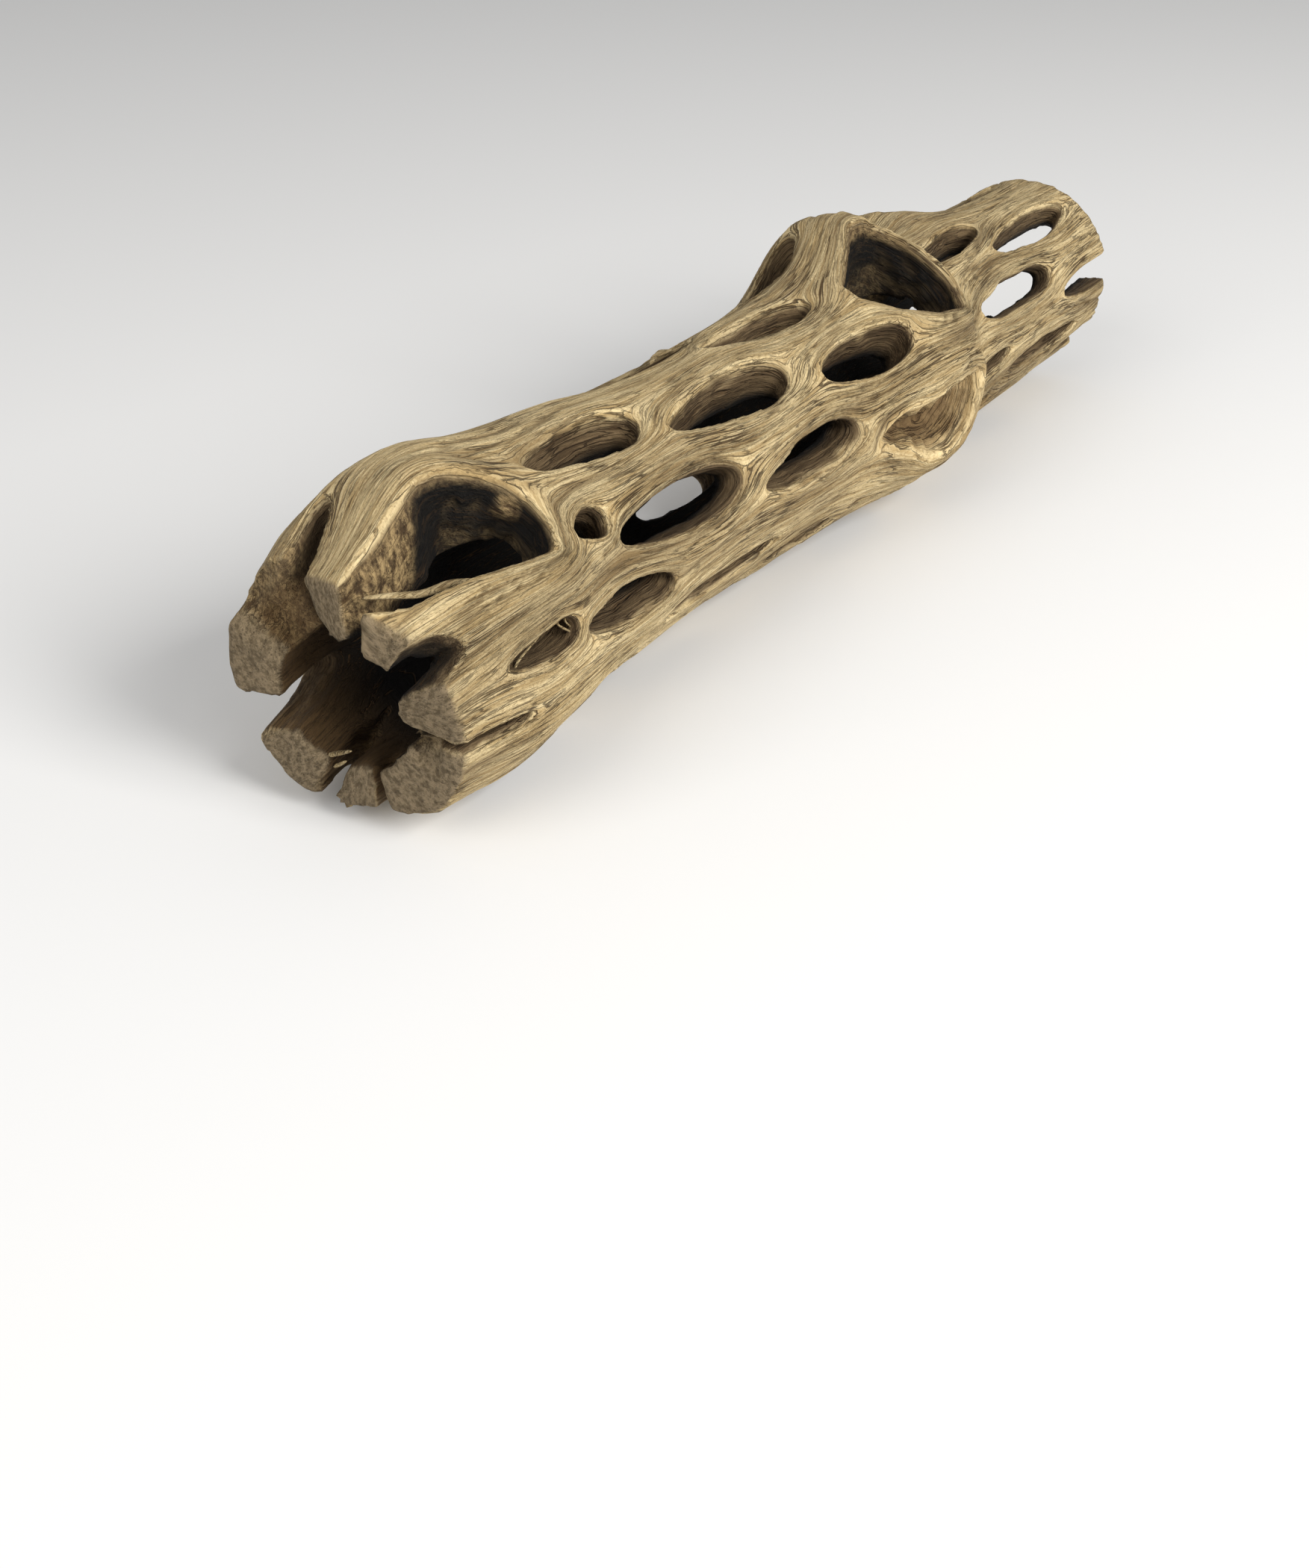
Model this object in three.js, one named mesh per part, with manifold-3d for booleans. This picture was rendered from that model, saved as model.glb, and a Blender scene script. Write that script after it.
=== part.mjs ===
// A cholla cactus skeleton: the woody net that is left of a cactus stem once its flesh has gone.
// It is one grown piece, a thick-walled tube pierced by staggered lens-shaped windows, swollen at
// two whorls where branches broke off and left scars, and sawn off at both ends.
// Everything is laid out in stem coordinates and then bent onto the stem: x runs along the pith
// from the near sawn end, phi goes round it in degrees (0 is +Y, 90 is up), r goes out from it.
// Millimetres, +Z up, origin under the middle of the piece on the surface that it lies on.

import * as THREE from "three";
import { mergeVertices } from "three/addons/utils/BufferGeometryUtils.js";
import Module from "manifold-3d";

const wasm = await Module();
wasm.setup();

const toRadians = THREE.MathUtils.degToRad;
const toDegrees = THREE.MathUtils.radToDeg;
const bell = (t) => Math.exp(-t * t);

// Driving dimensions
const LENGTH = 152;
const GIRTH_RADIUS = 14;
const WALL = 5.2;
// Where the pith starts and how it lies, which centres the piece over the origin
const PITH_START = -75.5;
const PITH_SIDE = 1.0;
const PITH_HEIGHT = 15.05;
const NEAR_CUT_TILT = 7;
const FAR_CUT_TILT = 3;

// Grid of the tube, and of one window's cutter
const RINGS = 28;
const ROUND_STEPS = 28;
const WINDOW_SIDES = 10;
const OVAL_SIDES = 12;
// Shape of a window's outline, the half width from which it flares fully, and how near to the pith
// a cutter may come
const LENS_POWER = 1.15;
const FULL_FLARE_WIDTH = 2;
const LEAST_RADIUS = 2;

// Windows that the near side shows: middle (x, phi), half length, half width, tilt in degrees, how
// much wider the far half is than the near half, and how far in millimetres the inner face's opening
// leans round the stem
const SHOWN_WINDOWS = [
  [34.3, 100, 8.4, 2.9, 3, 0.25, 2.4],
  [56.8, 118, 11.2, 2.8, 2, 0.25, 2.2],
  [73.0, 88, 9.4, 2.2, 9, 0.2, 2.2],
  [82.0, 135, 9.2, 2.7, 4, 0.05, 1.8],
  [40.0, 150, 11.0, 2.5, 3, 0.2, -0.4],
  [64.4, 165, 10.4, 2.4, 0, 0.25, -2.2],
  [25.3, 136, 2.9, 1.5, 0, 0.5, 0.4],
  [13.2, 165, 4.9, 1.4, 4, 0.2, -0.8],
  [27.4, 175, 8.0, 1.8, 8, 0.1, -1.8],
  [3.0, 186, 7.5, 0.7, 3, 0, 0],
  [46.5, 196, 11.0, 1.3, 0, 0.1, -1.0],
  [56.0, 56, 9.5, 2.8, 4, 0.1, 0],
  [91.0, 57, 6.5, 2.2, 0, 0.1, 0],
  [117.0, 102, 10.4, 2.2, -6, 0.2, 1.4],
  [136.5, 120, 11.4, 2.3, -2, 0.1, 1.0],
  [123.0, 150, 11.0, 2.3, 0, 0.1, 0],
  [147.0, 168, 10.0, 2.0, 0, 0.1, 0],
  [112.0, 181, 6.5, 1.2, 0, 0.1, -1.0],
  [132.0, 196, 11.0, 1.4, 0, 0.1, -1.2],
  [67.5, 316, 8.5, 1.9, 0, 0.15, 0],
];

// Windows on the far side and underneath stand in staggered columns: phi, then the middles along x
const HIDDEN_COLUMNS = [
  [215, [24, 64, 106, 146]],
  [240, [15, 44, 84, 126]],
  [266, [30, 68, 118, 149]],
  [291, [42, 130]],
  [305, [90, 111]],
  [313, [35, 146]],
  [336, [50, 128]],
  [6, [47, 73, 98, 141]],
  [31, [36, 78, 152]],
  [60, [138]],
];
const HIDDEN_SEED = 20;

// Slots that the near cut runs through, so that the sawn strands stand apart
const END_SLOTS = [
  [0.0, 62.5, 9.0, 1.1, -8.5, 0, 0],
  [-1.0, 346, 10.0, 2.4, 0, 0, 0],
  [0.0, 295, 7.5, 1.3, 0, 0, 0],
  [-1.0, 260, 4.5, 0.7, 0, 0, 0],
];
// The near cut also runs through a wide gap between two strands, and a strand is torn back from it:
// corners (x, phi)
const END_NOTCHES = [
  [[-3, 112], [0, 117], [1.5, 126], [3, 134], [5, 140], [6.5, 146], [5, 149], [2, 151], [-3, 152]],
  [[-3, 24], [0.6, 26], [2.2, 36], [2.8, 48], [2.4, 62], [-3, 64]],
];
// The outer and the inner face of the wall at the near cut: phi, outer, inner
const END_FACES = [
  [0, 15.0, 9.0],
  [12, 15.4, 9.4],
  [25, 15.8, 9.0],
  [45, 16.3, 8.5],
  [60, 15.2, 8.0],
  [75, 13.7, 8.0],
  [86, 13.3, 7.8],
  [96, 11.2, 6.2],
  [106, 10.5, 5.8],
  [118, 10.4, 6.2],
  [135, 11.0, 6.0],
  [150, 11.2, 5.0],
  [166, 11.2, 4.4],
  [182, 11.6, 4.8],
  [205, 11.9, 5.4],
  [230, 11.9, 5.6],
  [255, 10.8, 6.0],
  [275, 11.0, 6.0],
  [295, 12.4, 7.0],
  [315, 14.0, 8.0],
  [335, 13.9, 8.4],
  [360, 15.0, 9.0],
];
const END_REACH = 7;

// Cutters of windows and scars are spools, listed as rings from the pith outwards: depth in the wall
// (0 inner face, 1 outer face) and flare. A spool that is narrow inside the wall and flares at both
// of its faces leaves the strands between windows rounded.
const THROUGH = [
  [-0.6, 1.4],
  [0.45, 0.0],
  [1.0, 0.35],
  [1.6, 1.0],
];
const PIT = [
  [0.3, -2.0],
  [0.55, -0.5],
  [1.0, 0.3],
  [1.6, 1.0],
];
const NOTCH = [
  [-2.0, 0.0],
  [2.0, 0.0],
];

// Outlines of the branch scars: corners (x, phi)
const GREAT_SCAR = [
  [-3, 88], [3, 84.5], [7, 87], [10, 86.5], [13, 86.5], [15.6, 90], [17.6, 98], [19.4, 107],
  [20, 116], [19.8, 127], [18.8, 137], [15, 134], [11, 128.5], [7.5, 122], [4, 114], [2, 105],
  [0, 95], [-3, 92],
];
const CREST_SCAR = [
  [99.5, 83], [94, 92], [88.6, 102], [88.4, 112], [92.2, 126], [98, 137], [104, 141], [105, 128],
  [104.8, 113], [104.4, 98], [103.6, 86],
];
const SIDE_SCAR = [
  [77, 175], [80, 169], [84, 166.5], [89, 168], [94, 166.5], [99, 166], [102, 169], [101, 177],
  [97, 186], [93, 196], [89, 196], [85, 188], [80, 181],
];
// Branch scars: corners, height of the collar, spool, and how far the upper edge of the hole slopes
// out into it towards the pith
const SCARS = [
  { corners: GREAT_SCAR, collar: 1.0, spool: THROUGH, slope: 4.2 },
  { corners: CREST_SCAR, collar: 1.0, spool: THROUGH, slope: 0 },
  { corners: SIDE_SCAR, collar: 0.9, spool: PIT, slope: 0 },
  { corners: oval(117, 30, 8.0, 4.0, -12), collar: 1.4, spool: THROUGH, slope: 0 },
  { corners: oval(14, 304, 6.5, 3.6, 10), collar: 1.0, spool: PIT, slope: 0 },
];
// How far outside a scar its collar is highest, and how wide it is
const COLLAR_OFF = 1.0;
const COLLAR_WIDTH = 1.9;

// Swellings: middle (x, phi), height, reach towards the near end and towards the far end, spread
const SWELLINGS = [
  [2, 28, 3.6, 10, 10, 36],
  [15, 58, 3.2, 11, 12, 34],
  [33, 56, 1.6, 13, 15, 26],
  [101.5, 60, 5.2, 10.5, 4.5, 30],
  [95, 187, 2.2, 14, 6, 30],
  [103, 110, 1.2, 8, 3, 26],
  [121, 52, 3.6, 7, 8, 24],
  [45, 224, -1.2, 24, 24, 26],
  [15, 266, 0.9, 7, 7, 30],
  [100, 268, 0.6, 8, 8, 30],
];

// A knot of dead tissue on the first scar's far rim: middle (x, phi, r) and reach along, round, out
const KNOT = { x: 19.2, phi: 105, r: 13.2, along: 1.9, around: 2.6, out: 1.9 };

// The shortest way round from one angle to another, in degrees.
function turnBetween(from, to) {
  return ((((to - from) % 360) + 540) % 360) - 180;
}

// A gentle rise on the near side of a whorl and a quick fall on its far side.
function whorl(x, middle, height, before, after) {
  return height * bell((x - middle) / (x < middle ? before : after));
}

// A rounded hill over the unrolled stem.
function hill(x, phi, [middle, around, height, before, after, spread]) {
  return whorl(x, middle, height, before, after) * bell(turnBetween(around, phi) / spread);
}

// The corners of an ellipse over the unrolled stem.
function oval(middle, around, length, width, tilt) {
  return Array.from({ length: OVAL_SIDES }, (_, step) => {
    const turn = (2 * Math.PI * step) / OVAL_SIDES;
    const place = new THREE.Vector2(length * Math.cos(turn), width * Math.sin(turn));
    place.rotateAround(new THREE.Vector2(), toRadians(tilt));
    return [middle + place.x, around + toDegrees(place.y / GIRTH_RADIUS)];
  });
}

// Where the pith lies beside its straight line: it dips towards the near end.
function pithOffset(x) {
  const dip = Math.max(0, 1 - x / 25) ** 2;
  return { y: -1.5 * dip, z: -1.9 * dip };
}

// How far, in millimetres over the unrolled stem, a place is outside an outline, less than 0 inside:
// the least distance to its sides, with a sign from how often a ray crosses them.
function outlineDistance(x, phi, corners) {
  const middle = corners[0][1];
  const across = toRadians(turnBetween(middle, phi)) * GIRTH_RADIUS;
  const ring = corners.map(([cx, cphi]) => [cx, toRadians(cphi - middle) * GIRTH_RADIUS]);
  let least = Infinity;
  let inside = false;
  ring.forEach(([ax, ay], i) => {
    const [bx, by] = ring[(i + 1) % ring.length];
    const side = new THREE.Vector2(bx - ax, by - ay);
    const from = new THREE.Vector2(x - ax, across - ay);
    const share = THREE.MathUtils.clamp(from.dot(side) / side.lengthSq(), 0, 1);
    least = Math.min(least, from.distanceTo(side.clone().multiplyScalar(share)));
    const crosses = across > ay !== across > by && x < ax + ((across - ay) * side.x) / side.y;
    if (crosses) inside = !inside;
  });
  return inside ? -least : least;
}

// A radius of the stem that turns into the near cut's own one over the last END_REACH.
function blendToEnd(x, phi, radius, column) {
  const turn = ((phi % 360) + 360) % 360;
  const next = END_FACES.findIndex(([at]) => at > turn);
  const [low, high] = [END_FACES[next - 1], END_FACES[next]];
  const end = THREE.MathUtils.mapLinear(turn, low[0], high[0], low[column], high[column]);
  return THREE.MathUtils.lerp(radius, end, bell(Math.max(x, 0) / END_REACH));
}

function outerRadius(x, phi) {
  let r = GIRTH_RADIUS + whorl(x, 18, 1.0, 12, 7) + whorl(x, 103, 1.5, 18, 4);
  r -= 0.8 * THREE.MathUtils.smoothstep(x, 103, 122);
  for (const swelling of SWELLINGS) r += hill(x, phi, swelling);
  for (const scar of SCARS) {
    const off = outlineDistance(x, phi, scar.corners);
    r += scar.collar * bell((off - COLLAR_OFF) / COLLAR_WIDTH);
  }
  return blendToEnd(x, phi, r, 1);
}

function innerRadius(x, phi) {
  const plain = GIRTH_RADIUS - WALL - 0.7 * bell((x - 18) / 14) - 0.7 * bell((x - 100) / 16);
  return blendToEnd(x, phi, plain + 0.35 * Math.sin(toRadians(3 * phi) + x / 11), 2);
}

// From stem coordinates to a point of the model.
function onStem(x, phi, r) {
  const pith = pithOffset(x);
  return new THREE.Vector3(
    PITH_START + x,
    PITH_SIDE + pith.y + r * Math.cos(toRadians(phi)),
    PITH_HEIGHT + pith.z + r * Math.sin(toRadians(phi)),
  );
}

// Moves every vertex of a geometry to where place(x, y, z) says.
function bend(geometry, place) {
  const position = geometry.getAttribute("position");
  for (let i = 0; i < position.count; i++)
    position.setXYZ(i, ...place(position.getX(i), position.getY(i), position.getZ(i)).toArray());
  return geometry;
}

// A closed three.js geometry as a manifold-3d solid, with its faces turned outwards.
function solidFrom(geometry) {
  geometry.deleteAttribute("normal");
  geometry.deleteAttribute("uv");
  const merged = mergeVertices(geometry, 1e-4);
  const triVerts = new Uint32Array(merged.index.array);
  const vertProperties = merged.getAttribute("position").array;
  const made = new wasm.Manifold(new wasm.Mesh({ numProp: 3, vertProperties, triVerts }));
  if (made.volume() > 0) return made;
  for (let i = 0; i < triVerts.length; i += 3)
    [triVerts[i + 1], triVerts[i + 2]] = [triVerts[i + 2], triVerts[i + 1]];
  return new wasm.Manifold(new wasm.Mesh({ numProp: 3, vertProperties, triVerts }));
}

// The whole wall before any window: a ring profile turned round the pith, then bent onto it.
function stemWall() {
  const overrun = 4;
  const profile = [];
  for (let i = 0; i <= RINGS; i++)
    profile.push(new THREE.Vector2(2, -overrun + ((LENGTH + 2 * overrun) * i) / RINGS));
  for (let i = RINGS; i >= 0; i -= 2)
    profile.push(new THREE.Vector2(1, -overrun + ((LENGTH + 2 * overrun) * i) / RINGS));
  profile.push(profile[0].clone());
  const geometry = new THREE.LatheGeometry(profile, ROUND_STEPS);
  return solidFrom(
    bend(geometry, (across, x, deep) => {
      const phi = toDegrees(Math.atan2(deep, across));
      const share = Math.hypot(across, deep) - 1;
      return onStem(x, phi, THREE.MathUtils.lerp(innerRadius(x, phi), outerRadius(x, phi), share));
    }),
  );
}

// A cutter: its lathe profile has one ring for each ring of the spool, and rim(turn, ring) gives
// where on the unrolled stem each of the ring's corners lies.
function cutter(sides, spool, middle, around, rim) {
  const last = spool.length - 1;
  const profile = [new THREE.Vector2(0, 0)];
  spool.forEach((_, ring) => profile.push(new THREE.Vector2(1, ring)));
  profile.push(new THREE.Vector2(0, last));
  return solidFrom(
    bend(new THREE.LatheGeometry(profile, sides), (u, height, v) => {
      const ring = Math.round(height);
      const [x, phi] = Math.hypot(u, v) > 0.5 ? rim(Math.atan2(v, u), ring) : [middle, around];
      const r = THREE.MathUtils.lerp(innerRadius(x, phi), outerRadius(x, phi), spool[ring][0]);
      return onStem(x, phi, Math.max(r, LEAST_RADIUS));
    }),
  );
}

// A window's outline is a lens, blunter than an ellipse and wider in its far half. A slit flares
// less than a broad window does.
function windowCutter([middle, around, halfLength, halfWidth, tilt, skew, lean]) {
  const openness = Math.min(1, halfWidth / FULL_FLARE_WIDTH);
  return cutter(WINDOW_SIDES, THROUGH, middle, around, (turn, ring) => {
    const [depth, flare] = THROUGH[ring];
    const lens = Math.sign(Math.cos(turn)) * Math.abs(Math.cos(turn)) ** LENS_POWER;
    const half = halfWidth * (1 + skew * Math.cos(turn)) + flare * openness;
    const place = new THREE.Vector2((halfLength + flare * openness) * lens, half * Math.sin(turn));
    place.rotateAround(new THREE.Vector2(), toRadians(tilt));
    place.y += lean * (1 - THREE.MathUtils.clamp(depth, 0, 1));
    return [middle + place.x, around + toDegrees(place.y / GIRTH_RADIUS)];
  });
}

// A scar's or a notch's outline goes through its corners. Its flare pushes them away from the middle,
// and the slope of its upper edge pulls that edge out into the hole towards the pith.
function outlineCutter(corners, spool, slope = 0) {
  const sides = corners.length;
  const middle = corners.reduce((sum, [x]) => sum + x, 0) / sides;
  const around = corners.reduce((sum, [, phi]) => sum + phi, 0) / sides;
  return cutter(sides, spool, middle, around, (turn, ring) => {
    const [depth, flare] = spool[ring];
    const step = Math.round(((Math.PI / 2 - turn) / (2 * Math.PI)) * sides);
    const [x, phi] = corners[((step % sides) + sides) % sides];
    const out = new THREE.Vector2(x - middle, toRadians(phi - around) * GIRTH_RADIUS);
    const ease = THREE.MathUtils.smoothstep(x, 0, 9);
    out.setLength(out.length() + flare * ease);
    const fromTop = phi < around ? THREE.MathUtils.smoothstep(x, 0, 4.5) : 0;
    const drawn = fromTop * (1 - THREE.MathUtils.smoothstep(x, 10, 16)) * slope;
    out.y += drawn * (1 - THREE.MathUtils.clamp(depth, 0, 1));
    return [middle + out.x, around + toDegrees(out.y / GIRTH_RADIUS)];
  });
}

function knotOfTissue() {
  return solidFrom(
    bend(new THREE.SphereGeometry(1, 9, 6), (along, out, around) => {
      const phi = KNOT.phi + toDegrees((around * KNOT.around) / KNOT.r);
      return onStem(KNOT.x + along * KNOT.along, phi, KNOT.r + out * KNOT.out);
    }),
  );
}

// Park and Miller's generator: the same draws on every run.
function drawer(seed) {
  let state = seed;
  return (low, high) => {
    state = (state * 16807) % 2147483647;
    return low + ((high - low) * state) / 2147483647;
  };
}

function hiddenWindows() {
  const draw = drawer(HIDDEN_SEED);
  return HIDDEN_COLUMNS.flatMap(([around, middles]) =>
    middles.map((middle) => [
      middle + draw(-1.5, 1.5),
      around + draw(-2.5, 2.5),
      draw(8.5, 11.5),
      draw(1.9, 2.6),
      draw(-6, 6),
      0.15,
      0,
    ]),
  );
}

// A block that takes away all beyond a plane: at a point, with the plane's normal pointing away.
function beyond(point, normal) {
  const size = 2 * LENGTH;
  const block = new THREE.BoxGeometry(size, size, size).translate(0, 0, size / 2);
  const turn = new THREE.Quaternion().setFromUnitVectors(new THREE.Vector3(0, 0, 1), normal);
  return solidFrom(block.applyQuaternion(turn).translate(point.x, point.y, point.z));
}

function sawCuts() {
  const near = new THREE.Vector3(-1, 0, 0).applyAxisAngle(
    new THREE.Vector3(0, 0, 1),
    toRadians(NEAR_CUT_TILT),
  );
  const far = new THREE.Vector3(1, 0, 0).applyAxisAngle(
    new THREE.Vector3(0, 1, 0),
    toRadians(FAR_CUT_TILT),
  );
  return [
    beyond(new THREE.Vector3(PITH_START, PITH_SIDE, PITH_HEIGHT), near),
    beyond(new THREE.Vector3(PITH_START + LENGTH, PITH_SIDE, PITH_HEIGHT), far),
    beyond(new THREE.Vector3(0, 0, 0), new THREE.Vector3(0, 0, -1)),
  ];
}

function skeletonSolid() {
  const windows = [...SHOWN_WINDOWS, ...hiddenWindows(), ...END_SLOTS];
  const openings = windows.map((window) => windowCutter(window));
  const scars = SCARS.map(({ corners, spool, slope }) => outlineCutter(corners, spool, slope));
  const notches = END_NOTCHES.map((corners) => outlineCutter(corners, NOTCH));
  const net = wasm.Manifold.difference([stemWall(), ...openings, ...scars, ...notches]);
  const whole = wasm.Manifold.difference([net.add(knotOfTissue()), ...sawCuts()]);
  // Scraps that the cuts leave loose are dropped: the largest body is the skeleton.
  return whole.decompose().reduce((a, b) => (b.volume() > a.volume() ? b : a));
}

function skeletonMesh() {
  const { vertProperties, triVerts } = skeletonSolid().getMesh();
  const geometry = new THREE.BufferGeometry()
    .setAttribute("position", new THREE.BufferAttribute(vertProperties, 3))
    .setIndex(new THREE.BufferAttribute(triVerts, 1));
  geometry.computeVertexNormals();
  const wood = new THREE.MeshStandardMaterial({ color: 0xb39c6b, roughness: 0.9, metalness: 0 });
  const mesh = new THREE.Mesh(geometry, wood);
  mesh.name = "cholla_skeleton";
  return mesh;
}

const part = new THREE.Group();
part.add(skeletonMesh());
export default part;
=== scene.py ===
"""A dried cholla cactus skeleton: the finished piece, its stage, its light and its camera.

Stem coordinates, in millimetres: x runs along the pith from the near sawn end, phi goes round it in
degrees (0 is +Y, 90 is up) and r goes out from it. on_stem() bends them onto the model.
"""

import math

import bpy
import numpy as np
from mathutils import Matrix, Vector


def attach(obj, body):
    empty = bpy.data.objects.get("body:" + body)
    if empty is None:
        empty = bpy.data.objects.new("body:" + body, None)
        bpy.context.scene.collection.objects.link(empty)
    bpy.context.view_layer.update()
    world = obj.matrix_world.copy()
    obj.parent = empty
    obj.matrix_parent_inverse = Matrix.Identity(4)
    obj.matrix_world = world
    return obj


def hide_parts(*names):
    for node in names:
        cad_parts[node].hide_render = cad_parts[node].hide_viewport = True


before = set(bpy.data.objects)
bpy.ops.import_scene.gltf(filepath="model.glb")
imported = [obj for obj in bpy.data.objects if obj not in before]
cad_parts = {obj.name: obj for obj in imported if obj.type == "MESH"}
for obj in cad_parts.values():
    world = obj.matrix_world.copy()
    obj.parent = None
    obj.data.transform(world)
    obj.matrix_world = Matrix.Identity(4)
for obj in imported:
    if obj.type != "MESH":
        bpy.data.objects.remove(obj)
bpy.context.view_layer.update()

MM = 0.001

# The stem. The pith bends down and to the side over the last BEND_REACH before the near cut.
LENGTH = 152.0
GIRTH_RADIUS = 14.0
WALL = 5.2
PITH_START = -75.5
PITH_SIDE = 1.0
PITH_HEIGHT = 15.05
BEND_REACH = 25
BEND_SIDE = 1.5
BEND_DOWN = 1.9
NEAR_CUT_TILT = 7.0
FAR_CUT_TILT = 3.0
# Whorls: middle, height, reach towards the near end and towards the far end
WHORLS = [(18, 1.0, 12, 7), (103, 1.5, 18, 4)]
# Past the second whorl the stem is thinner: how much, from where and to where
THINNER, THINNER_FROM, THINNER_TO = 0.8, 103, 122
# The inner face comes closer to the pith at the whorls: middle, how much, spread
INNER_WHORLS = [(18, 0.7, 14), (100, 0.7, 16)]
INNER_WAVE = 0.35
# The raised collar round a scar: how far outside the outline, and how wide
COLLAR_OFF = 1.0
COLLAR_WIDTH = 1.9
# A window of at least this half width has the whole flare
FULL_FLARE_WIDTH = 2.0
# How much wider than its outline a window and a scar are, by the depth in the wall (1 is outside)
WINDOW_FLARE = ([-0.4, 0.0, 0.4, 0.8, 1.0, 1.4], [1.1, 0.8, 0.1, 0.0, 0.0, 0.3])
SCAR_FLARE = ([-0.5, 0.0, 0.45, 0.85, 1.1], [1.6, 1.2, 0.3, 0.0, 0.2])

# Windows: middle (x, phi), half length, half width, tilt in degrees, how much wider the far half is
# than the near half, and how far in millimetres the inner face's opening leans round the stem
SHOWN_WINDOWS = [
    (34.3, 100, 8.4, 2.9, 3, 0.25, 2.4),
    (56.8, 118, 11.2, 2.8, 2, 0.25, 2.2),
    (73.0, 88, 9.4, 2.2, 9, 0.20, 2.2),
    (82.0, 135, 9.2, 2.7, 4, 0.05, 1.8),
    (40.0, 150, 11.0, 2.5, 3, 0.20, -0.4),
    (64.4, 165, 10.4, 2.4, 0, 0.25, -2.2),
    (25.3, 136, 2.9, 1.5, 0, 0.50, 0.4),
    (13.2, 165, 4.9, 1.4, 4, 0.20, -0.8),
    (27.4, 175, 8.0, 1.8, 8, 0.10, -1.8),
    (3.0, 186, 7.5, 0.7, 3, 0.00, 0.0),
    (46.5, 196, 11.0, 1.3, 0, 0.10, -1.0),
    (55.5, 62, 12.0, 2.9, 2, 0.10, 0.0),
    (91.0, 57, 6.5, 2.2, 0, 0.10, 0.0),
    (117.0, 102, 10.4, 2.2, -6, 0.20, 1.4),
    (136.5, 120, 11.4, 2.3, -2, 0.10, 1.0),
    (123.0, 150, 11.0, 2.3, 0, 0.10, 0.0),
    (147.0, 168, 10.0, 2.0, 0, 0.10, 0.0),
    (112.0, 181, 6.5, 1.2, 0, 0.10, -1.0),
    (132.0, 196, 11.0, 1.4, 0, 0.10, -1.2),
    (67.5, 316, 8.5, 1.9, 0, 0.15, 0.0),
]
# Slots that the near cut runs through, so that the sawn strands stand apart
END_SLOTS = [
    (0.0, 62.0, 9.5, 1.5, -8.5, 0.0, 0.0),
    (-1.0, 346, 10.0, 2.4, 0, 0.0, 0.0),
    (0.0, 295, 7.5, 1.3, 0, 0.0, 0.0),
    (-1.0, 260, 4.5, 0.7, 0, 0.0, 0.0),
]
# The near cut also runs through this wide gap between two strands: corners (x, phi)
END_GAP = [
    (-3, 121), (-1, 124), (1.6, 127), (3.2, 131), (4.6, 137), (5.2, 142), (4.6, 146), (2, 149.5),
    (-3, 152),
]
# The outer and the inner face of the wall at the near cut: phi, outer, inner
END_FACES = [
    (0, 15.0, 9.0), (12, 15.4, 9.4), (25, 15.8, 9.0), (45, 16.3, 8.5), (60, 15.2, 8.0), (75, 13.7, 7.6),
    (86, 13.3, 7.4), (96, 11.2, 6.0), (106, 10.5, 5.8), (118, 10.4, 6.2), (135, 11.0, 6.0),
    (150, 11.2, 5.0), (166, 11.2, 4.4), (182, 11.6, 4.8), (205, 11.9, 5.4), (230, 11.9, 5.6),
    (255, 10.8, 6.0), (275, 11.0, 6.0), (295, 12.4, 7.0), (315, 14.0, 8.0), (335, 13.9, 8.4),
]
END_REACH = 7.0
# Where strands are torn back from the near cut: middle, half spread in degrees, how far back in
# millimetres, and from the pith out to which radius
TORN_ENDS = [
    (45, 22, 2.6, 30.0),
    (198, 13, 1.8, 9.6),
]
# The windows out of sight: the column's angle and the middles of its windows along the stem
HIDDEN_COLUMNS = [
    (215, (24, 64, 106, 146)),
    (240, (15, 44, 84, 126)),
    (266, (30, 68, 118, 149)),
    (291, (42, 130)),
    (305, (90, 111)),
    (313, (35, 146)),
    (336, (50, 128)),
    (6, (47, 73, 98, 141)),
    (31, (36, 78, 152)),
    (60, (138,)),
]
HIDDEN_SEED = 20
HIDDEN_LENGTHS = (8.5, 11.5)
HIDDEN_WIDTHS = (1.9, 2.6)
HIDDEN_SKEW = 0.15

# Outlines of the branch scars: corners (x, phi)
GREAT_SCAR = [
    (-3, 88), (3, 84.5), (7, 87), (10, 86.5), (13, 86.5), (15.6, 90), (17.6, 98), (19.4, 107),
    (20, 116), (19.8, 127), (18.8, 137), (15, 134), (11, 128.5), (7.5, 122), (4, 114), (2, 102.5),
    (0, 94), (-3, 91.5),
]
CREST_SCAR = [
    (99.5, 83), (94, 92), (88.6, 102), (88.4, 112), (92.2, 126), (98, 137), (104, 141), (105, 128),
    (104.8, 113), (104.4, 98), (103.6, 86),
]
SIDE_SCAR = [
    (77, 175), (80, 169), (84, 166.5), (89, 168), (94, 166.5), (99, 166), (102, 169), (101, 177),
    (97, 186), (93, 196), (89, 196), (85, 188), (80, 181),
]


OVAL_CORNERS = 16


def oval(middle, around, length, width, tilt):
    """The corners of an ellipse over the unrolled stem: (length * cos, width * sin), tilted."""
    corners = []
    for step in range(OVAL_CORNERS):
        turn = step * math.tau / OVAL_CORNERS
        along, across = length * math.cos(turn), width * math.sin(turn)
        c, s = math.cos(math.radians(tilt)), math.sin(math.radians(tilt))
        around_here = around + math.degrees((across * c + along * s) / GIRTH_RADIUS)
        corners.append((middle + along * c - across * s, around_here))
    return corners


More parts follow.
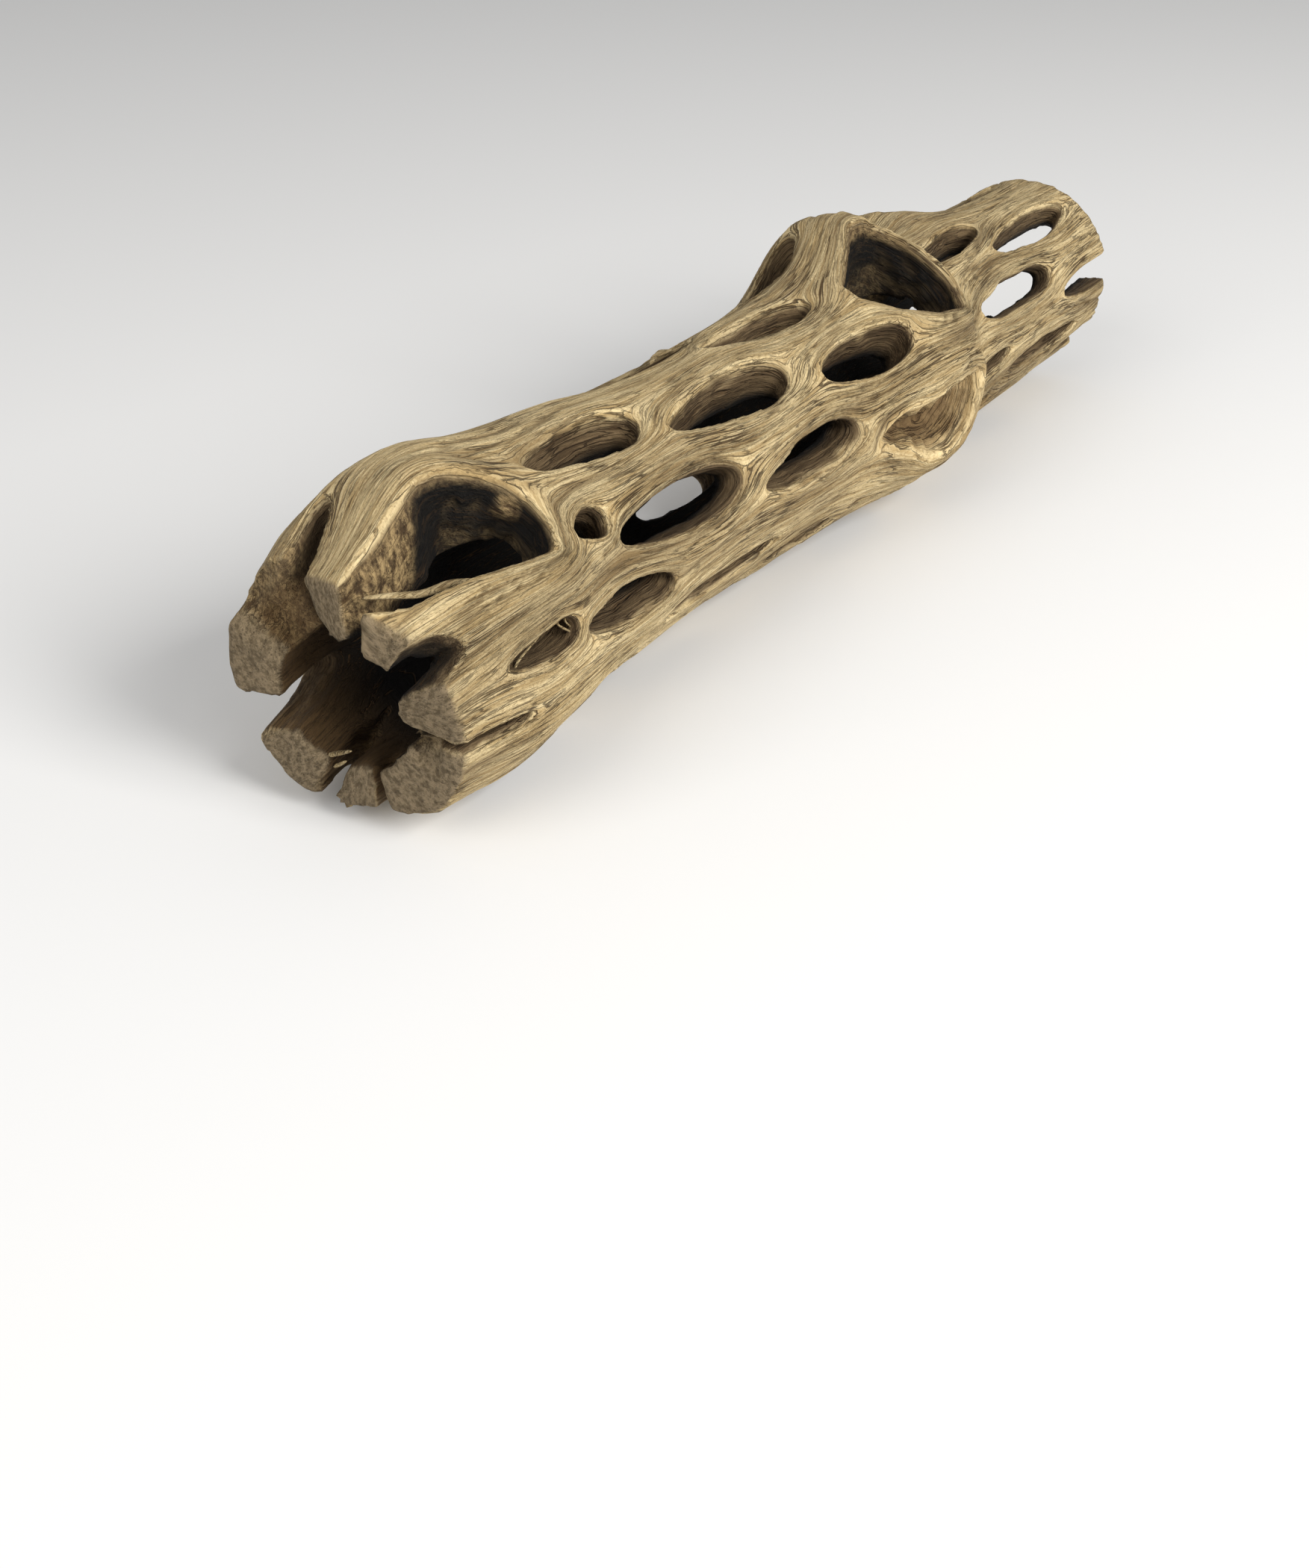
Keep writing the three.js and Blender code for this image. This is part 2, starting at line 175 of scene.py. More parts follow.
# Scars: outline, height of the collar, depth of the pit (0 goes right through the wall)
SCARS = [
    (GREAT_SCAR, 1.0, 0.0),
    (CREST_SCAR, 1.0, 0.0),
    (SIDE_SCAR, 0.9, 4.0),
    (oval(117, 30, 8.0, 4.0, -12), 1.4, 0.0),
    (oval(14, 304, 6.5, 3.6, 10), 1.0, 3.6),
]
# Swellings: middle (x, phi), height, reach towards the near end and towards the far end, spread
SWELLINGS = [
    (2, 28, 3.6, 10, 10, 36),
    (15, 58, 3.2, 11, 12, 34),
    (33, 56, 1.6, 13, 15, 26),
    (101.5, 60, 5.2, 10.5, 4.5, 30),
    (95, 187, 2.2, 14, 6, 30),
    (103, 110, 1.2, 8, 3, 26),
    (121, 52, 3.6, 7, 8, 24),
    (45, 224, -1.2, 24, 24, 26),
    (15, 266, 0.9, 7, 7, 30),
    (100, 268, 0.6, 8, 8, 30),
]
# How far the great scar's upper edge slopes out into the hole towards the pith, at its near end
LIP_SLOPE = 4.2
# A knot of dead tissue on the great scar's far rim: middle (x, phi, r) and reach along, round, out
KNOT = (20.4, 107.0, 13.6, 1.5, 2.1, 1.6)

# The edge between two cut surfaces is rounded over this width, in millimetres
FACE_EDGE, WINDOW_EDGE, GAP_EDGE, SCAR_EDGE, SAWN_EDGE = 1.2, 0.8, 0.6, 0.9, 0.5
# How rough broken surfaces are, in millimetres
WINDOW_ROUGH, GAP_ROUGH, SCAR_ROUGH, PIT_ROUGH, KNOT_ROUGH = 0.30, 0.25, 0.45, 0.35, 0.5
NEAR_CUT_ROUGH, FAR_CUT_ROUGH, TORN_ROUGH = 0.08, 0.10, 0.45
ROUGH_LUMP, ROUGH_GRIT = 1.4, 0.8

# The grid on which the wood's surface is worked out: steps along, round and out. It is finer at
# the near end and on the side that faces the camera.
STEPS_ALONG = 187
STEPS_ROUND = 174
STEPS_OUT = 40
R_LOW, R_HIGH = 3.2, 22.5
X_LOW, X_HIGH = -4.0, 156.0
FAR_COARSER = 0.25
BACK_COARSER = 0.28
SHOWN_SIDE = 130.0


def bell(t):
    """exp(-t squared)."""
    return np.exp(-t * t)


def smoothstep(t, low, high):
    """0 at low, 1 at high and 3s^2 - 2s^3 between them. With high below low it is a falling ramp."""
    s = np.clip((t - low) / (high - low), 0.0, 1.0)
    return s * s * (3.0 - 2.0 * s)


def turn_between(start, end):
    """The shortest way round from one angle to another, in degrees."""
    return (end - start + 180.0) % 360.0 - 180.0


def hill(x, phi, middle, around, height, before, after, spread):
    """A rounded hill over the unrolled stem: height * bell(along) * bell(round)."""
    return whorl(x, middle, height, before, after) * bell(turn_between(around, phi) / spread)


def whorl(x, middle, height, before, after):
    """A gentle rise on the near side of a whorl and a quick fall on its far side."""
    return height * bell((x - middle) / np.where(x < middle, before, after))


def in_window(x, phi, middle, around, tilt):
    """A place in the frame of a window: along its length and across it, in millimetres."""
    along = x - middle
    across = np.radians(turn_between(around, phi)) * GIRTH_RADIUS
    c, s = math.cos(math.radians(tilt)), math.sin(math.radians(tilt))
    return along * c + across * s, across * c - along * s


def outline_distance(x, phi, corners):
    """How far, in millimetres over the unrolled stem, a place is outside an outline (less than 0
    inside): the least distance to its sides, with a sign from how often a ray crosses them."""
    x, phi = np.broadcast_arrays(x, phi)
    middle = corners[0][1]
    s = np.radians(turn_between(middle, phi)) * GIRTH_RADIUS
    ring = [(cx, math.radians(cphi - middle) * GIRTH_RADIUS) for cx, cphi in corners]
    least = np.full(x.shape, 1e9)
    inside = np.zeros(x.shape, bool)
    for (ax, ay), (bx, by) in zip(ring, ring[1:] + ring[:1]):
        ex, ey = bx - ax, by - ay
        share = np.clip(((x - ax) * ex + (s - ay) * ey) / (ex * ex + ey * ey), 0, 1)
        least = np.minimum(least, np.hypot(x - ax - share * ex, s - ay - share * ey))
        if ay != by:
            inside ^= ((s > ay) != (s > by)) & (x < ax + (s - ay) * ex / ey)
    return np.where(inside, -least, least)


def blend_to_end(x, phi, radius, column):
    """A radius of the stem that turns into the near cut's own one over the last END_REACH."""
    at = [row[0] for row in END_FACES]
    end = np.interp(np.mod(phi, 360.0), at, [row[column] for row in END_FACES], period=360.0)
    return radius + (end - radius) * bell(np.clip(x, 0.0, None) / END_REACH)


def outer_radius(x, phi):
    """The outer face of the wall: the girth, whorls, swellings, scar collars and the near end."""
    r = GIRTH_RADIUS
    for row in WHORLS:
        r = r + whorl(x, *row)
    r = r - THINNER * smoothstep(x, THINNER_FROM, THINNER_TO)
    for swelling in SWELLINGS:
        r = r + hill(x, phi, *swelling)
    for corners, collar, _ in SCARS:
        r = r + collar * bell((outline_distance(x, phi, corners) - COLLAR_OFF) / COLLAR_WIDTH)
    return blend_to_end(x, phi, r, 1)


def inner_radius(x, phi):
    """The inner face of the wall: a constant wall, less bells at the whorls, plus a slow wave."""
    r = GIRTH_RADIUS - WALL
    for middle, closer, spread in INNER_WHORLS:
        r = r - closer * bell((x - middle) / spread)
    return blend_to_end(x, phi, r + INNER_WAVE * np.sin(np.radians(3 * phi) + x / 11), 2)


def on_stem(x, phi, r):
    """Stem coordinates to points of the model, in millimetres: (x, r cos phi, r sin phi) from the
    pith, which bends by (1 - x / BEND_REACH) squared."""
    bent = np.clip(1 - x / BEND_REACH, 0, None) ** 2
    angle = np.radians(phi)
    y = PITH_SIDE - BEND_SIDE * bent + r * np.cos(angle)
    z = PITH_HEIGHT - BEND_DOWN * bent + r * np.sin(angle)
    return np.stack(np.broadcast_arrays(PITH_START + x, y, z), axis=-1)


def hidden_windows():
    """The windows out of sight, shifted, sized and tilted by a seeded row of pseudo-random draws:
    each state is the last one times 16807, modulo 2^31 - 1."""
    state = HIDDEN_SEED

    def draw(low, high):
        nonlocal state
        state = (state * 16807) % 2147483647
        return low + (high - low) * state / 2147483647

    found = []
    for around, middles in HIDDEN_COLUMNS:
        for middle in middles:
            x = middle + draw(-1.5, 1.5)
            phi = around + draw(-2.5, 2.5)
            length, width, tilt = draw(*HIDDEN_LENGTHS), draw(*HIDDEN_WIDTHS), draw(-6, 6)
            found.append((x, phi, length, width, tilt, HIDDEN_SKEW, 0.0))
    return found


def all_windows():
    """Every window and end slot, those in sight first."""
    return SHOWN_WINDOWS + hidden_windows() + END_SLOTS


def lattice(i, j, k, seed):
    """A value from 0 to 1 for each lattice point: its three whole numbers and the seed, each times
    a large odd number, added up and stirred by shifts."""
    h = i * 374761393 + j * 668265263 + k * 2147483647 + seed * 1274126177
    h = (h ^ (h >> 13)) * 1103515245
    h = (h ^ (h >> 16)) & 0x7FFFFFFF
    return h / 0x7FFFFFFF


def value_noise(u, v, w, seed):
    """Smooth noise from -1 to 1: lattice values blended with 3t^2 - 2t^3 along each axis."""
    u, v, w = np.broadcast_arrays(u, v, w)
    i, j, k = (np.floor(t).astype(np.int64) for t in (u, v, w))
    fu, fv, fw = u - i, v - j, w - k
    fu, fv, fw = (t * t * (3 - 2 * t) for t in (fu, fv, fw))
    total = 0.0
    for di in (0, 1):
        for dj in (0, 1):
            for dk in (0, 1):
                share = (fu if di else 1 - fu) * (fv if dj else 1 - fv) * (fw if dk else 1 - fw)
                total = total + share * lattice(i + di, j + dj, k + dk, seed)
    return 2.0 * total - 1.0


def smooth_max(a, b, k):
    """The larger of two fields, rounded over where they are within k of each other."""
    h = np.clip(k - np.abs(a - b), 0.0, None) / k
    return np.maximum(a, b) + h * h * k * 0.25


def lens_distance(x, phi, middle, around, half_length, half_width, tilt, skew):
    """About how far, in millimetres, a place is outside a lens-shaped outline (less than 0 inside):
    (q - 1) / |gradient of q|, with q = |along / length|^p + |across / width|^2, and p larger at
    the blunt far end. skew widens the far half."""
    along, across = in_window(x, phi, middle, around, tilt)
    a = along / half_length
    width = half_width * (1.0 + skew * np.clip(a, -1.0, 1.0))
    b = across / width
    p = np.where(a > 0, 2.0 + 3.0 * skew, 1.75)
    q = np.abs(a) ** p + b * b
    slope = np.hypot(p * np.abs(a) ** (p - 1) / half_length, 2 * b / width)
    return np.maximum((q - 1.0) / np.maximum(slope, 0.05), -half_width)


class Grid:
    """The grid in stem coordinates."""

    u = np.linspace(0.0, 1.0, STEPS_ALONG)
    x = X_LOW + (X_HIGH - X_LOW) * (u + FAR_COARSER * u * u) / (1 + FAR_COARSER)
    turn = np.arange(STEPS_ROUND + 1) * (360.0 / STEPS_ROUND)
    turn = turn - np.degrees(BACK_COARSER * np.sin(np.radians(turn - SHOWN_SIDE)))
    phi = turn[:-1]
    r = np.linspace(R_LOW, R_HIGH, STEPS_OUT)


# The grain keeps this far from a hole. Its path is found in this many rounds, and is this stiff.
GRAIN_MARGIN = 0.3
GRAIN_ROUNDS = 700
GRAIN_STIFFNESS = 0.9
# Farther from a hole than this, in millimetres, its distance isn't worked out
REACH = 5.0
FAR_OFF = 9.0


def window_map():
    """For each place on the unrolled stem: the distance to the nearest window, and the middle line
    of that window."""
    x, phi = Grid.x[:, None], Grid.phi[None, :]
    holes = [(lens_distance(x, phi, *window[:6]), window[1]) for window in all_windows()]
    for corners, _, _ in SCARS:
        middle = sum(c[1] for c in corners) / len(corners)
        holes.append((outline_distance(x, phi, corners), middle))
    nearest = np.full((STEPS_ALONG, STEPS_ROUND), np.inf)
    middle_line = np.zeros_like(nearest)
    for distance, middle in holes:
        closer = distance < nearest
        nearest = np.where(closer, distance, nearest)
        middle_line = np.where(closer, middle, middle_line)
    return nearest, middle_line


def grain_shift(holes, middle_line):
    """How far round, in degrees, the grain is pushed from a straight line. Each place takes the
    mean of its four neighbours, over and over, while each hole's edge is held on the hole's middle
    line, so that every fibre passes to one side of a hole and none runs into it."""
    phi = np.broadcast_to(Grid.phi[None, :], holes.shape)
    inside = holes < GRAIN_MARGIN
    held = np.where(inside, turn_between(phi, middle_line), 0.0)
    shift = held
    for _ in range(GRAIN_ROUNDS):
        padded = np.pad(shift, ((1, 1), (0, 0)), mode="edge")
        along = padded[:-2] + padded[2:]
        around = np.roll(shift, 1, 1) + np.roll(shift, -1, 1)
        mean = (GRAIN_STIFFNESS * along + around) / (2 * GRAIN_STIFFNESS + 2)
        shift = np.where(inside, held, mean)
    return shift


def noise_at(x, phi, r, size, seed):
    """Noise over the stem's own space, with lumps of about size millimetres."""
    round_it = phi * (GIRTH_RADIUS * math.pi / 180.0)
    return value_noise(x / size, round_it / size, r / size, seed)


def carve_windows(depth):
    """The distance to the nearest window in the wall, less than 0 inside one. Each window is worked
    out only in its own block of the grid."""
    found = np.full(depth.shape, FAR_OFF)
    wobble = 0.35 * value_noise(Grid.x[:, None] / 4.5, Grid.phi[None, :] / 12.0, 0.0, 3)
    for middle, around, length, width, tilt, skew, lean in all_windows():
        tilted = length * abs(math.sin(math.radians(tilt)))
        sideways = math.degrees((width + REACH + abs(lean) + tilted) / GIRTH_RADIUS)
        rows = np.flatnonzero(np.abs(Grid.x - middle) < length + REACH)
        columns = np.flatnonzero(np.abs(turn_between(around, Grid.phi)) < sideways)
        block = np.ix_(rows, columns)
        here = depth[block]
        x, phi = Grid.x[rows][:, None, None], Grid.phi[columns][None, :, None]
        leaned = phi - np.degrees(lean / GIRTH_RADIUS) * (1.0 - np.clip(here, 0.0, 1.0))
        openness = min(1.0, width / FULL_FLARE_WIDTH)
        d = lens_distance(x, leaned, middle, around, length, width, tilt, skew)
        d = d + openness * (wobble[block][:, :, None] - np.interp(here, *WINDOW_FLARE))
        found[block] = np.minimum(found[block], d)
    return found


def knot_distance(x, phi, r):
    """How far a place is from the middle of the knot, 1 on its skin."""
    middle, around, out, along, beside, thick = KNOT
    across = np.radians(turn_between(around, phi)) * out / beside
    return np.sqrt(((x - middle) / along) ** 2 + across**2 + ((r - out) / thick) ** 2)


def torn_back(phi, r):
    """How far back from the near cut the wood is torn, in millimetres."""
    back = 0.0
    for middle, spread, far, out in TORN_ENDS:
        within = smoothstep(np.abs(turn_between(middle, phi)), spread, spread - 10)
        back = np.maximum(back, far * within * smoothstep(r, out, out - 1.5))
    return back


def cut_directions():
    """The unit vectors that point out of the near cut and out of the far cut."""
    near, far = math.radians(NEAR_CUT_TILT), math.radians(FAR_CUT_TILT)
    out_near = np.array([-math.cos(near), -math.sin(near), 0.0])
    out_far = np.array([math.cos(far), 0.0, -math.sin(far)])
    return out_near, out_far


def cut_distances(place):
    """How far places of the model are behind the near cut, and how far beyond the far cut."""
    out_near, out_far = cut_directions()
    start = np.array([PITH_START, PITH_SIDE, PITH_HEIGHT])
    end = start + [LENGTH, 0.0, 0.0]
    return -((place - start) @ out_near), (place - end) @ out_far


def wood_field():
    """The wood's field on the grid, less than 0 inside the wood. The wall lies between the two
    faces, windows and scars go through it, and smooth_max rounds the edges."""
    x, phi, r = Grid.x[:, None, None], Grid.phi[None, :, None], Grid.r[None, None, :]
    flat_x, flat_phi = Grid.x[:, None], Grid.phi[None, :]
    outer = outer_radius(flat_x, flat_phi)[:, :, None]
    inner = inner_radius(flat_x, flat_phi)[:, :, None]
    depth = np.clip((r - inner) / (outer - inner), -0.5, 1.6)
    rough = noise_at(x, phi, r, ROUGH_LUMP, 11) + 0.6 * noise_at(x, phi, r, ROUGH_GRIT, 12)
    field = smooth_max(r - outer, inner - r, FACE_EDGE)
    below = smoothstep(0.92 - depth, 0.0, 0.3)
    field = smooth_max(field, -carve_windows(depth) + WINDOW_ROUGH * rough * below, WINDOW_EDGE)
    gap = outline_distance(flat_x, flat_phi, END_GAP)[:, :, None]
    field = smooth_max(field, -gap + GAP_ROUGH * rough * below, GAP_EDGE)
    ease = smoothstep(x, 0.0, 9.0)

    for corners, _, pit in SCARS:
        rim = outline_distance(flat_x, flat_phi, corners)[:, :, None]
        if corners is GREAT_SCAR:
            slope = LIP_SLOPE * smoothstep(x, 16.0, 10.0) * smoothstep(x, 0.0, 4.5)
            slope = slope * (1.0 - np.clip(depth, 0.0, 1.0))
            lip = outline_distance(x, phi - np.degrees(slope / GIRTH_RADIUS), corners)
            rim = smooth_max(rim, lip, WINDOW_EDGE)
        cut = rim - ease * np.interp(depth, *SCAR_FLARE) + SCAR_ROUGH * rough * below
        if pit:
            sunk = pit * smoothstep(-rim, 0.0, 3.0)
            cut = smooth_max(cut, outer - sunk - r + PIT_ROUGH * rough, WINDOW_EDGE)
        field = smooth_max(field, -cut, SCAR_EDGE)

    knot = (knot_distance(x, phi, r) - 1.0) * KNOT[3] + KNOT_ROUGH * rough
    field = -smooth_max(-field, -knot, SCAR_EDGE)

    place = on_stem(x, phi, r)
    off_near, off_far = cut_distances(place)
    back = torn_back(phi, r)
    near_cut = back - off_near + rough * (NEAR_CUT_ROUGH + TORN_ROUGH * np.minimum(back, 2.0))
    field = smooth_max(field, near_cut, SAWN_EDGE)
    field = smooth_max(field, off_far + FAR_CUT_ROUGH * rough, SAWN_EDGE)
    return np.maximum(field, -place[..., 2])


def surface_net(field):
    """The zero surface of a field on a grid that closes on itself in its second direction.

    One vertex for each cell that the surface passes through, at the mean of the places where it
    crosses the cell's edges, and one quad for each grid edge that it crosses. Returns the vertices
    in grid steps, and the quads with their faces turned out of the wood."""
    inside = field < 0
    corner = {}
    value = {}
    for di in (0, 1):
        for dj in (0, 1):
            for dk in (0, 1):
                rows = slice(di, field.shape[0] - 1 + di)
                layers = slice(dk, field.shape[2] - 1 + dk)
                corner[di, dj, dk] = np.roll(inside, -dj, axis=1)[rows, :, layers]
                value[di, dj, dk] = np.roll(field, -dj, axis=1)[rows, :, layers]
    total = np.zeros(corner[0, 0, 0].shape + (3,))
    count = np.zeros(corner[0, 0, 0].shape)
    for axis in range(3):
        for a in (0, 1):
            for b in (0, 1):
                low, high = [a, b], [a, b]
                low.insert(axis, 0)
                high.insert(axis, 1)
                low, high = tuple(low), tuple(high)
                crossed = corner[low] != corner[high]
                share = value[low] / np.where(crossed, value[low] - value[high], 1.0)
                for other in range(3):
                    at = share if other == axis else float(low[other])
                    total[..., other] += np.where(crossed, at, 0.0)
                count += crossed
    active = count > 0
    number = np.full(active.shape, -1, np.int64)
    number[active] = np.arange(active.sum())
    cells = np.argwhere(active)
    points = cells + total[active] / count[active][:, None]

    quads = []
    nj = field.shape[1]
    for axis in range(3):
        step = [0, 0, 0]
        step[axis] = 1
        if axis == 1:
            a, b = inside, np.roll(inside, -1, axis=1)
        else:
            cut_low = [slice(None)] * 3
            cut_high = [slice(None)] * 3
            cut_low[axis], cut_high[axis] = slice(0, -1), slice(1, None)
            a, b = inside[tuple(cut_low)], inside[tuple(cut_high)]
        edge = np.argwhere(a != b)
        others = [t for t in range(3) if t != axis]
        keep = np.ones(len(edge), bool)
        for t in others:
            if t != 1:
                keep &= (edge[:, t] > 0) & (edge[:, t] < field.shape[t] - 1)
        edge = edge[keep]
        outward = a[tuple(edge.T)]
        ring = []
        for du, dv in ((1, 1), (0, 1), (0, 0), (1, 0)):
            cell = edge.copy()
            cell[:, others[0]] -= du
            cell[:, others[1]] -= dv
            cell[:, 1] %= nj
            ring.append(number[tuple(cell.T)])
        ring = np.stack(ring, axis=1)
        flip = ~outward if axis == 1 else outward
        ring[flip] = ring[flip][:, ::-1]
        quads.append(ring)
    return points, np.concatenate(quads)


def sample_grid(values, points):
    """Values on the unrolled stem read at points given in grid steps, blended linearly."""
    i = np.clip(points[:, 0], 0, values.shape[0] - 1.001)
    i0 = np.floor(i).astype(int)
    j0 = np.floor(points[:, 1]).astype(int)
    fi, fj = i - i0, points[:, 1] - j0
    total = 0.0
    for di in (0, 1):
        for dj in (0, 1):
            share = (fi if di else 1 - fi) * (fj if dj else 1 - fj)
            total = total + share * values[i0 + di, (j0 + dj) % values.shape[1]]
    return total


def largest_body(count, quads):
    """Which vertices belong to the largest connected body: labels spread along the quads' edges."""
    label = np.arange(count)
    a = quads.ravel()
    b = np.roll(quads, 1, axis=1).ravel()
    while True:
        low = np.minimum(label[a], label[b])
        new = label.copy()
        np.minimum.at(new, a, low)
        np.minimum.at(new, b, low)
        new = new[new]
        if np.array_equal(new, label):
            break
        label = new
    names, sizes = np.unique(label, return_counts=True)
    return label == names[sizes.argmax()]


def vertex_normals(points, quads):
    """Unit normals: the sum of the normals of the quads round each vertex."""
    corner = [points[quads[:, c]] for c in range(4)]
    face = np.cross(corner[2] - corner[0], corner[3] - corner[1])
    normal = np.zeros_like(points)
    for c in range(4):
        np.add.at(normal, quads[:, c], face)
    return normal / np.maximum(np.linalg.norm(normal, axis=1), 1e-9)[:, None]


def relax(points, quads, rounds, share):
    """Moves each vertex a share of the way to the mean of its neighbours."""
    a = quads.ravel()
    b = np.roll(quads, -1, axis=1).ravel()
    degree = np.bincount(a, minlength=len(points)) + np.bincount(b, minlength=len(points))
    for _ in range(rounds):
        total = np.zeros_like(points)
        for axis in range(3):
            total[:, axis] = np.bincount(a, points[b, axis], len(points))
            total[:, axis] += np.bincount(b, points[a, axis], len(points))
        points = points + share * (total / degree[:, None] - points)
    return points


def set_finish(piece, grain, masks, depth, relief, warm):
    """What the wood's material reads at each vertex."""
    set_attribute(piece, "grain", "FLOAT_VECTOR", grain)
    set_attribute(piece, "masks", "FLOAT_COLOR", masks)
    set_attribute(piece, "depth", "FLOAT", depth)
    set_attribute(piece, "relief", "FLOAT", relief)
    set_attribute(piece, "warm", "FLOAT", warm)


def quad_mesh(name, points, quads):
    """A mesh object from points in millimetres and an array of quads."""
    mesh = bpy.data.meshes.new(name)
    mesh.vertices.add(len(points))
    mesh.vertices.foreach_set("co", (points * MM).astype(np.float32).ravel())
    mesh.loops.add(quads.size)
    mesh.loops.foreach_set("vertex_index", quads.astype(np.int32).ravel())
    mesh.polygons.add(len(quads))
    mesh.polygons.foreach_set("loop_start", np.arange(0, quads.size, 4, dtype=np.int32))
    mesh.update(calc_edges=True)
    mesh.validate()
    mesh.shade_smooth()
    piece = bpy.data.objects.new(name, mesh)
    bpy.context.scene.collection.objects.link(piece)
    return piece


def set_attribute(piece, name, kind, values):
    """A value for each vertex, read by the material under that name."""
    attribute = piece.data.attributes.new(name, kind, "POINT")
    field = {"FLOAT_VECTOR": "vector", "FLOAT_COLOR": "color", "FLOAT": "value"}[kind]
    attribute.data.foreach_set(field, values.astype(np.float32).ravel())


# How far the relief stands out, in millimetres
BUNDLES, FIBRES, BROAD_WAVES, FURROWS, PIT_RIBS = 0.20, 0.16, 0.22, 0.42, 0.55


def inside_outline(x, phi, corners, far, near=0.0):
    """1 inside an outline, falling to 0 from near to far millimetres outside it."""
    return smoothstep(-outline_distance(x, phi, corners), far, near)


def wood_masks(x, phi, r, depth, points, normal):
    """Where the wood shows which finish, each from 0 to 1: wall, sawn, crumb, char together with
    painted shadow in the near end's gap and slot, a warmer brown, and the side scar's pit. depth is 0
    on the outer face and 1 on the inner one."""
    out_near, out_far = cut_directions()
    off_near, _ = cut_distances(points)
    sawn = np.maximum(
        smoothstep(normal @ out_near, 0.35, 0.65) * smoothstep(off_near, 1.9, 1.0),
        smoothstep(normal @ out_far, 0.55, 0.85) * (x > LENGTH - 6.0),
    )
    outward = normal[:, 1] * np.cos(np.radians(phi)) + normal[:, 2] * np.sin(np.radians(phi))
    side = smoothstep(outward, 0.62, 0.30) * smoothstep(depth, 0.02, 0.08)
    wall = np.maximum(smoothstep(depth, 0.15, 0.35), side) * (1 - sawn)

    crumb = np.zeros(len(x))
    for corners, _, pit in SCARS:
        within = inside_outline(x, phi, corners, -1.8) * smoothstep(depth, 0.04, 0.16)
        crumb = np.maximum(crumb, within * (smoothstep(depth, 0.9, 0.6) if pit else 1.0))

    # Charred: the great scar beyond a slanted line and near the pith, and the crest scar. The sides of
    # the wide gap and of the first slot at the near end get the same mask as painted shadow.
    burnt_line = x + 0.30 * (phi - 88.0)
    char_and_shade = inside_outline(x, phi, GREAT_SCAR, -1.8) * smoothstep(depth, 0.05, 0.16)
    char_and_shade = char_and_shade * np.maximum(smoothstep(burnt_line, 10.5, 12.5), smoothstep(depth, 0.70, 0.90))
    crest = inside_outline(x, phi, CREST_SCAR, -1.8) * smoothstep(depth, 0.10, 0.26)
    gap = inside_outline(x, phi, END_GAP, -1.2, -0.2)
    slot = smoothstep(-lens_distance(x, phi, *END_SLOTS[0][:6]), -1.2, -0.2)
    gap = np.maximum(gap, slot) * smoothstep(depth, 0.10, 0.40)
    char_and_shade = np.maximum(np.maximum(char_and_shade, crest), 0.8 * gap)

    on_knot = smoothstep(knot_distance(x, phi, r), 1.3, 1.05)
    torn = smoothstep(torn_back(phi, r), 0.3, 1.2) * smoothstep(x, 7.0, 3.5)
    side_scar = inside_outline(x, phi, SIDE_SCAR, -0.5, 1.5)
    in_pit = side_scar * smoothstep(depth, 0.04, 0.15)
    char_and_shade = char_and_shade * (1 - sawn) * (1 - on_knot)
    crumb = np.maximum(np.maximum(crumb, on_knot), 0.6 * torn)
    crumb = crumb * (1 - 0.9 * sawn) * (1 - 0.75 * side_scar)

    flank = smoothstep(np.abs(turn_between(330.0, phi)), 110.0, 70.0)
    warm = smoothstep(x, 12.0, 2.0) * smoothstep(depth, 0.15, 0.5) * flank * (1 - sawn)
    warm = np.maximum(warm, 0.7 * in_pit)
    return wall, sawn, crumb, char_and_shade, warm, in_pit


def fibre_relief(grain, x, phi, r, wall, in_pit):
    """How far the wood stands out, in millimetres: noise drawn out along the grain, in bundles,
    fibres and broad waves, less furrows where another noise passes through zero. The side scar's
    pit has ribs across it instead."""

    def along_grain(length, width, seed):
        return value_noise(grain[:, 0] / length, grain[:, 1] / width, grain[:, 2] / width, seed)

    furrow = -np.exp(-((along_grain(14, 1.2, 24) / 0.14) ** 2))
    furrow = furrow * smoothstep(along_grain(9, 4, 25), -0.05, 0.45)
    relief = BUNDLES * along_grain(18, 1.6, 21) + FIBRES * along_grain(10, 0.8, 22)
    relief = relief + BROAD_WAVES * along_grain(24, 5.0, 23) + FURROWS * furrow * (1 - 0.6 * wall)
    ribs = value_noise(x / 1.3 + 0.10 * phi, phi / 45.0, r / 3.0, 26)
    return relief + (PIT_RIBS * ribs - relief) * in_pit


